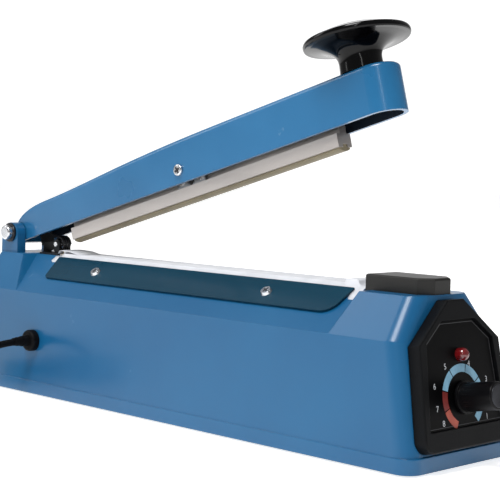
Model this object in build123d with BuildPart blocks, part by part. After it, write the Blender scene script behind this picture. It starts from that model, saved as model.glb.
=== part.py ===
from build123d import *
import math
import os

# Hand-operated impulse heat sealer, 200 mm class.
# Frame: +X towards the timer dial, -Y the cord side, +Z up, z = 0 on the table.
# All lengths in millimetres.

# ---------------------------------------------------------------- driving dimensions
FOOT = 1.0                  # how far the rubber feet stand out of the base
XF = 154.5                  # front bottom edge of the base
XR = -173.3                 # rear end of the base
SKIRT_H = 7.0               # height of the skirt band
SKIRT_Y = 37.5              # half width over the skirt
WALL_Y0 = 37.0              # half width of the side wall at the skirt
CREASE_Y, CREASE_Z = 35.6, 55.9 + FOOT
TOP_F = 74.5 + FOOT         # top of the raised front end
TOP_R = 75.5 + FOOT         # top of the raised rear end
FACET_TOP_Y = 20.4          # half width of the raised front end at its top
MID_Y, MID_Z = 9.5, 75.1 + FOOT   # inner edge of the middle facets
LEAN = 9.725                # lean of the front face, degrees
WALL = 2.5                  # shell thickness

HX, HZ = XF - 317.5, 87.0 + FOOT  # hinge axis
OPEN = 15.2                 # arm angle above horizontal when it stands open, degrees
ARM_Y = 10.9                # half width of the arm
ARM_END = 287.0             # hinge to the front end of the arm
ARM_BOT = -5.5              # underside of the arm's walls, from the hinge axis
ARM_T = 2.2                 # arm wall
LUG_IN, LUG_OUT = 11.6, 17.4
BOLT_R = 2.5

BAR_A, BAR_B = 41.0, 249.5  # pressing bar, hinge to its two ends
BAR_MID = (BAR_A + BAR_B) / 2
BAR_TRAVEL = 5.4            # how far the bar retracts into the arm
PIVOT_N = 1.3               # height of the bar's cross screw over the hinge line
KNOB_S = 267.5              # hinge to the handle knob

BED_A, BED_B = -127.5, 97.5  # heating bed along x
CORD_D = 3.8

os.makedirs("parts", exist_ok=True)

cl, sl = math.cos(math.radians(LEAN)), math.sin(math.radians(LEAN))
co, so = math.cos(math.radians(OPEN)), math.sin(math.radians(OPEN))
ft = (CREASE_Y - MID_Y, MID_Z - CREASE_Z)
fl = math.hypot(*ft)
FN = (ft[1] / fl, ft[0] / fl)   # outward normal of the middle facets (y, z)
ZS = FOOT + SKIRT_H
RAISE_Y = CREASE_Y - (TOP_R - CREASE_Z) * (CREASE_Y - FACET_TOP_Y) / (TOP_F - CREASE_Z)


def front_at(h):
    # plane parallel to the front face, h in front of it; local x = +Y, local y up the face
    return Plane(origin=(XF + cl * h, 0, FOOT + sl * h), x_dir=(0, 1, 0), z_dir=(cl, 0, sl))


def arm_side(y=0.0):
    # side view of the open arm: local x along the arm, local y out of its back, normal -Y
    return Plane(origin=(HX, y, HZ), x_dir=(co, 0, so), z_dir=(0, -1, 0))


def arm_plan(n):
    # plan view of the open arm at height n over the hinge line: local x along the arm, local y = +Y
    return Plane(origin=(HX - so * n, 0, HZ + co * n), x_dir=(co, 0, so), z_dir=(-so, 0, co))


def arm_cross(s):
    # section across the arm at distance s from the hinge: local x = +Y, local y out of the arm's back
    return Plane(origin=(HX + co * s, 0, HZ + so * s), x_dir=(0, 1, 0), z_dir=(co, 0, so))


def facet(side, lift=0.0):
    # plane on a middle facet: local x = +X, local y rises with +Y
    return Plane(origin=(0, side * (MID_Y + FN[0] * lift), MID_Z + FN[1] * lift),
                 x_dir=(1, 0, 0), z_dir=(0, side * FN[0], FN[1]))


def save(p, name):
    p.label = name
    n = len(p.solids())
    if not p.is_valid or p.volume <= 0:
        print("!!", name, "valid", p.is_valid, "vol", p.volume)
    print(f"{name:24s} solids {n:3d} vol {p.volume:10.1f}")
    export_step(p, f"parts/{name}.step")


def bezel_outline(dx=0.0, top=0.0, bottom=0.0):
    return [(-6.0 + dx, 73.2 - top), (6.0 - dx, 73.2 - top), (29.2 - dx, 54.6), (31.4 - dx, 8.2 + bottom),
            (-31.4 + dx, 8.2 + bottom), (-29.2 + dx, 54.6)]


LABEL = [(-12.2, 64.2), (12.2, 64.2), (24.1, 55.2), (27.6, 17.2), (-27.6, 17.2), (-24.1, 55.2)]
LAMP_V, DIAL_V = 48.8, 30.0
GLAND_X, GLAND_Z = XF - 267.6, 29.7 + FOOT
PLATE_SCREWS = (XF - 234.0, XF - 103.5)
BUT_A, BUT_B, BUT_Y = XF - 49.6, XF - 13.8, 11.2
STEM_X = XF - 29.8
BUT_BOT, BUT_TOP = 74.0, 81.8 + FOOT
RF_A, RF_T = XF - 49.5, XF - 45.0       # rear boundary of the raised front end, crease and top
RR_A, RR_T = XF - 285.8, XF - 301.7     # front boundary of the raised rear end, crease and top
BOSS = [(XR + 15, -30.0), (XR + 15, 30.0), (XF - 28, -30.0), (XF - 28, 30.0)]
BEZEL_SCREWS = [(-27.2, 20.0), (27.2, 20.0), (-26.0, 47.0), (26.0, 47.0)]
SPRING_X, SPRING_Z = XF - 290.1, 82.2   # return spring pin
CLAMPS = (BED_A + 2.3, BED_B - 2.5)     # middle of the rear and front element clamps
LEADS = (BED_A + 8.5, BED_B - 7.5)      # where the element leads come up
TAPE_Z = MID_Z + 0.8                    # top of the bed bar

# ---------------------------------------------------------------- base housing
with BuildPart() as housing_body:
    with BuildSketch(Plane.YZ.offset(XR + 0.5)):
        Polygon((-WALL_Y0, FOOT + 3), (WALL_Y0, FOOT + 3), (WALL_Y0, ZS), (CREASE_Y, CREASE_Z), (RAISE_Y, TOP_R),
                (-RAISE_Y, TOP_R), (-CREASE_Y, CREASE_Z), (-WALL_Y0, ZS), align=None)
    extrude(amount=XF - XR + 1)
    # front face leans back
    with BuildSketch(Plane.XZ):
        Polygon((XF + FOOT * sl / cl, 0), (XF + 30, 0), (XF + 30, 90), (XF - (90 - FOOT) * sl / cl, 90), align=None)
    extrude(amount=60, both=True, mode=Mode.SUBTRACT)
    # the raised front end is a little lower than the rear
    with BuildSketch(Plane.XZ):
        Polygon((RF_T - 60, TOP_F), (XF + 20, TOP_F), (XF + 20, 90), (RF_T - 60, 90), align=None)
    extrude(amount=60, both=True, mode=Mode.SUBTRACT)
    fe = [e for e in housing_body.edges()
          if e.center().X > XF - 14 and 20 < abs(e.center().Y) < 38 and abs((e @ 0).Z - (e @ 1).Z) > 10]
    fillet(fe, 8.0)
    re = [e for e in housing_body.edges()
          if e.center().X < XR + 1.0 and 18 < abs(e.center().Y) < 38 and abs((e @ 0).Z - (e @ 1).Z) > 10]
    fillet(re, 6.0)

with BuildPart() as middle_cut:
    # wedge of air over the middle, with sloping ends
    with BuildSketch(Plane.YZ):
        Polygon((MID_Y, MID_Z), (CREASE_Y, CREASE_Z), (CREASE_Y + 5, CREASE_Z - 5 * ft[1] / ft[0]), (60, 100), (-60, 100),
                (-CREASE_Y - 5, CREASE_Z - 5 * ft[1] / ft[0]), (-CREASE_Y, CREASE_Z), (-MID_Y, MID_Z), align=None)
    extrude(amount=200, both=True)
    with BuildSketch(Plane.XZ):
        rs = (RR_T - RR_A) / (TOP_R - CREASE_Z)
        fs = (RF_T - RF_A) / (TOP_F - CREASE_Z)
        Polygon((RR_A - rs * 10, CREASE_Z - 10), (RF_A - fs * 10, CREASE_Z - 10),
                (RF_A + fs * 40, CREASE_Z + 40), (RR_A + rs * 40, CREASE_Z + 40), align=None)
    extrude(amount=80, both=True, mode=Mode.INTERSECT)

with BuildPart() as skirt_body:
    with BuildSketch(Plane.XY.offset(FOOT)):
        with Locations(((XF + XR) / 2, 0)):
            RectangleRounded(XF - XR, 2 * SKIRT_Y, 8)
    extrude(amount=SKIRT_H)
    fillet(skirt_body.faces().sort_by(Axis.Z)[-1].edges(), 0.4)

with BuildPart() as base_housing:
    add(housing_body.part)
    add(skirt_body.part)
    add(middle_cut.part, mode=Mode.SUBTRACT)
    # hollow inside
    with BuildSketch(Plane.YZ.offset(XR + WALL + 1)):
        Polygon((-WALL_Y0 + WALL, 0), (WALL_Y0 - WALL, 0), (CREASE_Y - WALL, CREASE_Z - 1.5),
                (10.5, MID_Z - 3.6), (-10.5, MID_Z - 3.6), (-CREASE_Y + WALL, CREASE_Z - 1.5), align=None)
    extrude(amount=XF - XR - WALL - 1 - 17, mode=Mode.SUBTRACT)
    with BuildSketch(front_at(-4.0)):
        with Locations((0, 31.0)):
            RectangleRounded(60, 58, 6)
    extrude(amount=-15, mode=Mode.SUBTRACT)
    # screw bosses for the bottom plate
    with BuildSketch(Plane.XY.offset(FOOT + 1.8)):
        with Locations(*BOSS):
            Circle(4.6)
    extrude(amount=24)
    with BuildSketch(Plane.XY.offset(FOOT)):
        with Locations(*BOSS):
            Circle(1.55)
    extrude(amount=14, mode=Mode.SUBTRACT)
    # hinge lugs
    for s in (-1, 1):
        with BuildSketch(Plane.XZ.offset(s * (LUG_OUT + LUG_IN) / 2)):
            with BuildLine():
                Polyline((HX + 7.0, HZ - 1.0), (HX + 7.0, TOP_R - 3), (HX - 8.8, TOP_R - 3), (HX - 8.4, HZ - 3.0))
                ThreePointArc((HX - 8.4, HZ - 3.0), (HX - 5.8, HZ + 3.2), (HX, HZ + 5.8))
                ThreePointArc((HX, HZ + 5.8), (HX + 5.3, HZ + 3.6), (HX + 7.0, HZ - 1.0))
            make_face()
        extrude(amount=(LUG_OUT - LUG_IN) / 2, both=True)
    with BuildSketch(Plane.XZ):
        with Locations((HX, HZ)):
            Circle(BOLT_R + 0.05)
    extrude(amount=30, both=True, mode=Mode.SUBTRACT)
    # seat for the heating bed
    with BuildSketch(Plane.XY.offset(MID_Z - 1.8)):
        with Locations(((BED_A + BED_B) / 2, 0)):
            Rectangle(BED_B - BED_A + 0.4, 16.0)
    extrude(amount=6, mode=Mode.SUBTRACT)
    # passages for the element leads
    with BuildSketch(Plane.XY.offset(MID_Z - 8)):
        with Locations(*[(x, 0) for x in LEADS]):
            Circle(2.2)
        with Locations(*[(x, y) for x in CLAMPS for y in (-4, 4)]):
            Circle(1.05)
    extrude(amount=8, mode=Mode.SUBTRACT)
    # screw holes of the work plates
    for s in (-1, 1):
        with BuildSketch(facet(s)):
            with Locations(*[(x, s * 11.8) for x in PLATE_SCREWS]):
                Circle(1.5)
        extrude(amount=-6, mode=Mode.SUBTRACT)
    # screw hole of the spring bracket
    with BuildSketch(Plane.XY.offset(MID_Z - 5)):
        with Locations((SPRING_X - 7.9, 0)):
            Circle(1.3)
    extrude(amount=6, mode=Mode.SUBTRACT)
    # opening for the stem of the switch button
    with BuildSketch(Plane.XY.offset(TOP_F - 8)):
        with Locations((STEM_X, 0)):
            Rectangle(14.4, 12.4)
    extrude(amount=10, mode=Mode.SUBTRACT)
    # pocket the pressed block sinks into
    with BuildSketch(Plane.XY.offset(72.5)) as pk:
        with Locations(((BUT_A + BUT_B) / 2, 0)):
            Rectangle(BUT_B - BUT_A + 0.8, 2 * BUT_Y + 0.8)
        chamfer(pk.vertices().group_by(Axis.X)[-1], 5.6)
    extrude(amount=10, mode=Mode.SUBTRACT)
    # shallow seat and window of the dial bezel
    with BuildSketch(front_at(-1.0)) as seat:
        Polygon(*bezel_outline(-0.15, -0.15, -0.15), align=None)
        fillet([v for v in seat.vertices() if v.Y < 20], 6.0)
    extrude(amount=14, mode=Mode.SUBTRACT)
    with BuildSketch(front_at(-12.0)):
        with Locations((0, 33.0)):
            RectangleRounded(48, 42, 4)
    extrude(amount=14, mode=Mode.SUBTRACT)
    for y, v in BEZEL_SCREWS:
        with BuildSketch(front_at(-5.0)):
            with Locations((y, v)):
                Circle(1.55)
        extrude(amount=6, mode=Mode.SUBTRACT)
    # cord hole in the side wall
    with BuildSketch(Plane.XZ.offset(SKIRT_Y - 8)):
        with Locations((GLAND_X, GLAND_Z)):
            Circle(4.0)
    extrude(amount=20, mode=Mode.SUBTRACT)
    # seat of the bottom plate
    with BuildSketch(Plane.XY.offset(FOOT - 0.5)):
        with Locations(((XF + XR) / 2, 0)):
            RectangleRounded(XF - XR - 4.0, 2 * (SKIRT_Y - 1.8), 6.4)
    extrude(amount=2.3, mode=Mode.SUBTRACT)
save(base_housing.part, "base_housing")

# ---------------------------------------------------------------- bottom plate, feet, screws
FEET = [(x, y) for x in (XR + 34, XF - 40) for y in (-25, 25)]
with BuildPart() as bottom_plate:
    with BuildSketch(Plane.XY.offset(FOOT + 0.5)):
        with Locations(((XF + XR) / 2, 0)):
            RectangleRounded(XF - XR - 4.4, 2 * (SKIRT_Y - 2.0), 6.2)
        with Locations(*BOSS):
            Circle(1.6, mode=Mode.SUBTRACT)
        with Locations(*FEET):
            Circle(2.5, mode=Mode.SUBTRACT)
        with GridLocations(8, 0, 6, 1):
            SlotOverall(24, 3, rotation=90, mode=Mode.SUBTRACT)
        with Locations((-25.0, 0), (45.0, 0)):
            Circle(1.6, mode=Mode.SUBTRACT)
    extrude(amount=1.25)
save(bottom_plate.part, "bottom_plate")

with BuildPart() as rubber_feet:
    with BuildSketch(Plane.XY):
        with Locations(*FEET):
            Circle(6.0)
    extrude(amount=FOOT + 0.5, taper=3)
    with BuildSketch(Plane.XY.offset(FOOT + 0.4)):
        with Locations(*FEET):
            Circle(2.4)
    extrude(amount=2.6)
save(rubber_feet.part, "rubber_feet")

# ---------------------------------------------------------------- dial panel
with BuildPart() as front_bezel:
    with BuildSketch(front_at(-1.0)) as o:
        Polygon(*bezel_outline(), align=None)
        fillet([v for v in o.vertices() if v.Y < 20], 6.0)
    extrude(amount=7.0)
    rim = front_bezel.faces().sort_by(Axis((0, 0, 0), (cl, 0, sl)))[-1]
    fillet(rim.edges(), 0.9)
    with BuildSketch(front_at(4.2)):
        Polygon(*LABEL, align=None)
    extrude(amount=6, mode=Mode.SUBTRACT)
    with BuildSketch(front_at(-1.0)):
        with Locations((0, 33.0)):
            RectangleRounded(46, 40, 4)
    extrude(amount=3.2, mode=Mode.SUBTRACT)
    with BuildSketch(front_at(-2.0)):
        with Locations((0, DIAL_V)):
            Circle(3.8)
        with Locations((0, LAMP_V)):
            Circle(3.05)
    extrude(amount=10, mode=Mode.SUBTRACT)
    # posts for the circuit board
    with BuildSketch(front_at(-6.8)):
        with Locations((-19.5, 18), (19.5, 18), (-19.5, 48), (19.5, 48)):
            Circle(2.6)
    extrude(amount=9.1)
    with BuildSketch(front_at(-6.8)):
        with Locations((-19.5, 18), (19.5, 18), (-19.5, 48), (19.5, 48)):
            Circle(1.2)
    extrude(amount=7, mode=Mode.SUBTRACT)
    for y, v in BEZEL_SCREWS:
        with BuildSketch(front_at(-1.0)):
            with Locations((y, v)):
                Circle(1.3)
        extrude(amount=5, mode=Mode.SUBTRACT)
save(front_bezel.part, "front_bezel")

with BuildPart() as case_screws:
    # bottom plate
    with BuildSketch(Plane.XY.offset(FOOT - 0.6)):
        with Locations(*BOSS):
            Circle(3.0)
    extrude(amount=1.1)
    with BuildSketch(Plane.XY.offset(FOOT + 0.5)):
        with Locations(*BOSS):
            Circle(1.5)
    extrude(amount=10)
    # dial panel, from inside
    for y, v in BEZEL_SCREWS:
        with BuildSketch(front_at(-5.4)):
            with Locations((y, v)):
                Circle(2.2)
        extrude(amount=1.4)
        with BuildSketch(front_at(-4.0)):
            with Locations((y, v)):
                Circle(1.25)
        extrude(amount=7.5)
save(case_screws.part, "case_screws")

with BuildPart() as dial_label:
    with BuildSketch(front_at(4.2)):
        Polygon(*[(p[0] * 0.99, p[1] + (-0.2 if p[1] > 50 else 0.2)) for p in LABEL], align=None)
        with Locations((0, DIAL_V)):
            Circle(4.0, mode=Mode.SUBTRACT)
        with Locations((0, LAMP_V)):
            Circle(3.1, mode=Mode.SUBTRACT)
    extrude(amount=0.3)
save(dial_label.part, "dial_label")

with BuildPart() as indicator_lens:
    with BuildSketch(front_at(-4.0)):
        with Locations((0, LAMP_V)):
            Circle(2.95)
    extrude(amount=13.2)
    fillet(indicator_lens.faces().sort_by(Axis((0, 0, 0), (cl, 0, sl)))[-1].edges(), 2.6)
    with BuildSketch(front_at(-5.8)):
        with Locations((0, LAMP_V)):
            Circle(2.4)
    extrude(amount=9, mode=Mode.SUBTRACT)
save(indicator_lens.part, "indicator_lens")

with BuildPart() as lamp_holder:
    with BuildSketch(front_at(-5.0)):
        with Locations((0, LAMP_V)):
            Circle(4.0)
            Circle(3.0, mode=Mode.SUBTRACT)
    extrude(amount=7.1)
    with BuildSketch(front_at(-6.4)):
        with Locations((0, LAMP_V)):
            Circle(4.0)
    extrude(amount=1.4)
    with BuildSketch(front_at(-5.0)):
        with Locations((0, LAMP_V)):
            Circle(2.0)
    extrude(amount=8)
save(lamp_holder.part, "lamp_holder")

# timer: potentiometer, shaft, knob
with BuildPart() as timer_potentiometer:
    with BuildSketch(front_at(-5.8)):
        with Locations((0, DIAL_V)):
            Circle(8.0)
    extrude(amount=7.9)
    with BuildSketch(front_at(2.0)):
        with Locations((0, DIAL_V)):
            Circle(3.7)
    extrude(amount=2.4)
    with BuildSketch(front_at(-4.4)):
        with Locations((0, DIAL_V)):
            Circle(3.05)
    extrude(amount=10, mode=Mode.SUBTRACT)
    with BuildSketch(front_at(-5.8)):
        with Locations((0, DIAL_V - 9)):
            Rectangle(12, 5)
    extrude(amount=2)
save(timer_potentiometer.part, "timer_potentiometer")

with BuildPart() as timer_shaft:
    with BuildSketch(front_at(-4.0)):
        with Locations((0, DIAL_V)):
            Circle(3.0)
    extrude(amount=12.0)
    with BuildSketch(front_at(8.0)) as d:
        with Locations((0, DIAL_V)):
            Circle(3.0)
        with Locations((0, DIAL_V + 2.6)):
            Rectangle(8, 1.6, mode=Mode.SUBTRACT)
    extrude(amount=10)
save(timer_shaft.part, "timer_shaft")

KNOB_TOP = 23.2
with BuildPart() as timer_knob:
    with BuildSketch(front_at(5.1)):
        with Locations((0, DIAL_V)):
            Circle(7.4)
    extrude(amount=1.3)
    with BuildSketch(front_at(6.4)):
        with Locations((0, DIAL_V)):
            Circle(6.5)
    extrude(amount=KNOB_TOP - 6.4, taper=1.1)
    fillet(timer_knob.faces().sort_by(Axis((0, 0, 0), (cl, 0, sl)))[-1].edges(), 0.6)
    # grip grooves
    with BuildSketch(front_at(8.5)):
        with Locations((0, DIAL_V)):
            with PolarLocations(6.85, 20):
                Circle(0.55)
    extrude(amount=20, mode=Mode.SUBTRACT)
    with BuildSketch(front_at(KNOB_TOP - 0.7)):
        with Locations((0, DIAL_V)):
            Circle(5.2)
    extrude(amount=2, mode=Mode.SUBTRACT)
    with BuildSketch(front_at(4)):
        with Locations((0, DIAL_V)):
            Circle(3.0)
    extrude(amount=14.2, mode=Mode.SUBTRACT)
save(timer_knob.part, "timer_knob")

with BuildPart() as timer_knob_cap:
    with BuildSketch(front_at(KNOB_TOP - 0.7)):
        with Locations((0, DIAL_V)):
            Circle(5.15)
    extrude(amount=0.9)
    fillet(timer_knob_cap.faces().sort_by(Axis((0, 0, 0), (cl, 0, sl)))[-1].edges(), 0.3)
save(timer_knob_cap.part, "timer_knob_cap")

# circuit board and what is on it
with BuildPart() as circuit_board:
    with BuildSketch(front_at(-8.4)):
        with Locations((0, 33.0)):
            RectangleRounded(45, 38, 1.5)
        with Locations((-19.5, 18), (19.5, 18), (-19.5, 48), (19.5, 48)):
            Circle(1.3, mode=Mode.SUBTRACT)
    extrude(amount=1.6)
save(circuit_board.part, "circuit_board")

with BuildPart() as board_components:
    # relay, two capacitors, terminals
    with BuildSketch(front_at(-23.6)):
        with Locations((-8, 26)):
            RectangleRounded(15.5, 19, 1)
    extrude(amount=15.2)
    with BuildSketch(front_at(-20.4)):
        with Locations((11, 40), (11, 28.2)):
            Circle(4.0)
    extrude(amount=12)
    with BuildSketch(front_at(-18.4)):
        with Locations((8.0, 18.6)):
            RectangleRounded(15, 8, 0.6)
    extrude(amount=10)
    with BuildSketch(front_at(-18.4)):
        with Locations((3.5, 18.6), (8.0, 18.6), (12.5, 18.6)):
            Circle(1.3)
    extrude(amount=5, mode=Mode.SUBTRACT)
save(board_components.part, "board_components")

# ---------------------------------------------------------------- switch button and microswitch
with BuildPart() as switch_button:
    with BuildSketch(Plane.XY.offset(BUT_BOT)) as b:
        with Locations(((BUT_A + BUT_B) / 2, 0)):
            Rectangle(BUT_B - BUT_A, 2 * BUT_Y)
        chamfer(b.vertices().group_by(Axis.X)[-1], 5.6)
        fillet(b.vertices().group_by(Axis.X)[0], 1.0)
    extrude(amount=BUT_TOP - BUT_BOT)
    fillet(switch_button.faces().sort_by(Axis.Z)[-1].edges(), 1.2)
    with BuildSketch(Plane.XY.offset(66.0)):
        with Locations((STEM_X, 0)):
            Rectangle(13.6, 11.6)
    extrude(amount=BUT_BOT - 66.0 + 0.5)
    with BuildSketch(Plane.XY.offset(57.0)):
        with Locations((STEM_X, 0)):
            Circle(2.3)
    extrude(amount=9.5)
save(switch_button.part, "switch_button")

SWX = STEM_X - 9.0           # hinge of the switch lever
LEV = 8.0                    # slope of the lever at rest, degrees
with BuildPart() as button_guide:
    with BuildSketch(Plane.XY.offset(58.0)):
        with Locations((STEM_X, 0)):
            RectangleRounded(20, 17.5, 1.5)
    extrude(amount=MID_Z - 3.6 - 58.0)
    # flange that closes the pocket from below
    with BuildSketch(Plane.XY.offset(MID_Z - 4.9)):
        with Locations((117.0, 0)):
            Rectangle(38.0, 20.0)
    extrude(amount=1.3)
    with BuildSketch(Plane.XY.offset(60.0)):
        with Locations((STEM_X, 0)):
            Rectangle(14.4, 12.4)
    extrude(amount=20, mode=Mode.SUBTRACT)
    with BuildSketch(Plane.XY.offset(57.0)):
        with Locations((STEM_X, 0)):
            Circle(2.7)
    extrude(amount=6, mode=Mode.SUBTRACT)
    # tongue that carries the microswitch
    with BuildSketch(Plane.XZ.offset(-4.2)):
        Polygon((SWX - 1, 43.6), (SWX + 19, 43.6), (SWX + 19, 58.6), (SWX - 1, 58.6), align=None)
        with Locations((SWX + 4.3, 46.4), (SWX + 13.8, 46.4)):
            Circle(1.25, mode=Mode.SUBTRACT)
    extrude(amount=0.9, both=True)
save(button_guide.part, "button_guide")

with BuildPart() as microswitch_body:
    with BuildSketch(Plane.XZ):
        with Locations((SWX + 9.0, 48.6)):
            RectangleRounded(20, 10.2, 0.6)
        with Locations((SWX + 4.3, 46.4), (SWX + 13.8, 46.4)):
            Circle(1.2, mode=Mode.SUBTRACT)
    extrude(amount=3.2, both=True)
    with BuildSketch(Plane.XY.offset(50.6)):
        with Locations((SWX + 5.0, 0)):
            Rectangle(1.9, 2.9)
    extrude(amount=5, mode=Mode.SUBTRACT)
    # fork that holds the lever pin
    for s in (-1, 1):
        with BuildSketch(Plane.XZ.offset(s * 2.7)):
            Polygon((SWX - 1.0, 53.0), (SWX + 1.4, 53.0), (SWX + 1.4, 55.9), (SWX - 1.0, 55.9), align=None)
            with Locations((SWX, 54.7)):
                Circle(0.5, mode=Mode.SUBTRACT)
        extrude(amount=0.5, both=True)
    for x in (1.5, 9.0, 16.5):
        with BuildSketch(Plane.XY.offset(40.0)):
            with Locations((SWX + x, 0)):
                Rectangle(0.6, 3.2)
        extrude(amount=4)
save(microswitch_body.part, "microswitch_body")

with BuildPart() as microswitch_plunger:
    with BuildSketch(Plane.XY.offset(51.8)):
        with Locations((SWX + 5.0, 0)):
            Rectangle(1.3, 2.3)
    extrude(amount=3.1)
    fillet(microswitch_plunger.faces().sort_by(Axis.Z)[-1].edges().filter_by(Axis.Y), 0.4)
save(microswitch_plunger.part, "microswitch_plunger")

tl = math.tan(math.radians(LEV))
with BuildPart() as microswitch_lever:
    with BuildSketch(Plane.XZ):
        Polygon((SWX + 0.2, 54.75), (SWX + 18.5, 54.75 + 18.3 * tl), (SWX + 18.5, 55.2 + 18.3 * tl), (SWX + 0.2, 55.2), align=None)
        with Locations((SWX, 54.7)):
            Circle(0.6)
    extrude(amount=1.85, both=True)
    with BuildSketch(Plane.XZ):
        with Locations((SWX, 54.7)):
            Circle(0.45)
    extrude(amount=3.1, both=True)
save(microswitch_lever.part, "microswitch_lever")

# ---------------------------------------------------------------- heating bed
with BuildPart() as bed_bar:
    with BuildSketch(Plane.XY.offset(MID_Z - 1.8)):
        with Locations(((BED_A + BED_B) / 2, 0)):
            Rectangle(BED_B - BED_A, 15.6)
        with Locations(*[(x, 0) for x in LEADS]):
            Circle(2.0, mode=Mode.SUBTRACT)
        with Locations(*[(x, y) for x in CLAMPS for y in (-4, 4)]):
            Circle(1.05, mode=Mode.SUBTRACT)
    extrude(amount=2.6)
save(bed_bar.part, "bed_bar")

with BuildPart() as insulating_tape:
    with BuildSketch(Plane.XY.offset(TAPE_Z)):
        with Locations(((BED_A + BED_B) / 2, 0)):
            Rectangle(BED_B - BED_A, 15.2)
        with Locations(*[(x, 0) for x in LEADS]):
            Circle(2.0, mode=Mode.SUBTRACT)
        with Locations(*[(x, y) for x in CLAMPS for y in (-4, 4)]):
            Circle(1.05, mode=Mode.SUBTRACT)
    extrude(amount=0.2)
save(insulating_tape.part, "insulating_tape")

with BuildPart() as heating_element:
    with BuildSketch(Plane.XY.offset(TAPE_Z + 0.2)):
        with Locations(((BED_A + BED_B) / 2, 0)):
            Rectangle(BED_B - BED_A - 1.0, 2.5)
    extrude(amount=0.2)
save(heating_element.part, "heating_element")

with BuildPart() as element_clamps:
    for x in CLAMPS:
        with BuildSketch(Plane.XY.offset(TAPE_Z + 0.4)):
            with Locations((x, 0)):
                RectangleRounded(4.2, 12.0, 0.8)
            with Locations((x, -4), (x, 4)):
                Circle(1.1, mode=Mode.SUBTRACT)
        extrude(amount=1.3)
save(element_clamps.part, "element_clamps")

with BuildPart() as bed_screws:
    for x in CLAMPS:
        with BuildSketch(Plane.XY.offset(MID_Z - 5.0)):
            with Locations((x, -4), (x, 4)):
                Circle(1.0)
        extrude(amount=7.8)
        with BuildSketch(Plane.XY.offset(TAPE_Z + 1.7)):
            with Locations((x, -4), (x, 4)):
                Circle(1.9)
        extrude(amount=0.5)
    # screw of the spring bracket
    with BuildSketch(Plane.XY.offset(MID_Z - 5)):
        with Locations((SPRING_X - 7.9, 0)):
            Circle(1.25)
    extrude(amount=6)
    with BuildSketch(Plane.XY.offset(MID_Z + 1.0)):
        with Locations((SPRING_X - 7.9, 0)):
            Circle(1.9)
    extrude(amount=1.2)
save(bed_screws.part, "bed_screws")


def facet_pt(y, lift):
    # point over a middle facet: y on the facet, lift along its normal
    z = MID_Z - (abs(y) - MID_Y) * ft[1] / ft[0]
    return (y + math.copysign(FN[0] * lift, y), z + FN[1] * lift)


with BuildPart() as ptfe_cloth:
    C0, C1, C2 = facet_pt(13.4, 0.06), facet_pt(9.9, 0.06), (8.3, TAPE_Z + 0.46)
    with BuildSketch(Plane.YZ.offset(-122.8)):
        Polygon((-C0[0], C0[1]), (-C1[0], C1[1]), (-C2[0], C2[1]), C2, C1, C0,
                (C0[0] + 0.15, C0[1] + 0.2), (C1[0] + 0.15, C1[1] + 0.2), (8.4, TAPE_Z + 0.72),
                (-8.4, TAPE_Z + 0.72), (-C1[0] - 0.15, C1[1] + 0.2), (-C0[0] - 0.15, C0[1] + 0.2), align=None)
    extrude(amount=92.0 + 122.8)
    # rear end over the clamp
    with BuildSketch(Plane.XZ):
        Polygon((-122.4, TAPE_Z + 0.46), (-122.6, 79.3), (-122.9, 79.5), (-127.8, 79.5), (-128.6, 77.4), (-128.3, 77.3),
                (-127.6, 79.2), (-123.0, 79.2), (-122.9, TAPE_Z + 0.46), align=None)
    extrude(amount=8.3, both=True)
    # front end over the clamp
    with BuildSketch(Plane.XZ):
        Polygon((91.5, TAPE_Z + 0.46), (91.8, 79.3), (99.0, 79.3), (99.3, 79.6), (91.5, 79.6), (91.0, TAPE_Z + 0.72), (91.0, TAPE_Z + 0.46), align=None)
    extrude(amount=8.3, both=True)
save(ptfe_cloth.part, "ptfe_cloth")

PLATE = [(-122.5, 2.2), (99.5, 2.2), (97.0, 19.9), (-117.5, 19.9)]
with BuildPart() as work_plates:
    for s in (-1, 1):
        with BuildSketch(facet(s, 0.4)) as o:
            Polygon(*[(x, s * d) for x, d in PLATE], align=None)
            low = [v for v in o.vertices() if abs(v.Y) > 19]
            fillet([v for v in low if v.X > 0], 8.0)
            fillet([v for v in o.vertices() if abs(v.Y) > 19 and v.X < -100], 3.0)
        extrude(amount=1.0)
        with BuildSketch(facet(s)):
            with Locations(*[(x, s * 11.8) for x in PLATE_SCREWS]):
                Circle(1.7)
        extrude(amount=3, mode=Mode.SUBTRACT)
save(work_plates.part, "work_plates")

with BuildPart() as plate_screws:
    for s in (-1, 1):
        with BuildSketch(facet(s, 1.4)):
            with Locations(*[(x, s * 11.8) for x in PLATE_SCREWS]):
                Circle(3.0)
        extrude(amount=1.5, taper=18)
        with BuildSketch(facet(s, -5.0)):
            with Locations(*[(x, s * 11.8) for x in PLATE_SCREWS]):
                Circle(1.45)
        extrude(amount=6.4)
save(plate_screws.part, "plate_screws")

# ---------------------------------------------------------------- hinge
with BuildPart() as hinge_bolt:
    with BuildSketch(Plane.XZ.offset(LUG_OUT + 1.0)):
        with Locations((HX, HZ)):
            Circle(4.3)
    extrude(amount=3.4)
    fillet(hinge_bolt.faces().sort_by(Axis.Y)[0].edges(), 1.2)
    with BuildSketch(Plane.XZ.offset(-LUG_OUT - 6.2)):
        with Locations((HX, HZ)):
            Circle(BOLT_R)
    extrude(amount=2 * LUG_OUT + 7.2)
save(hinge_bolt.part, "hinge_bolt")

with BuildPart() as hinge_washers:
    for y in (-LUG_OUT - 1.0, LUG_OUT):
        with BuildSketch(Plane.XZ.offset(-y)):
            with Locations((HX, HZ)):
                Circle(5.5)
                Circle(2.6, mode=Mode.SUBTRACT)
        extrude(amount=-1.0)
save(hinge_washers.part, "hinge_washers")

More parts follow.
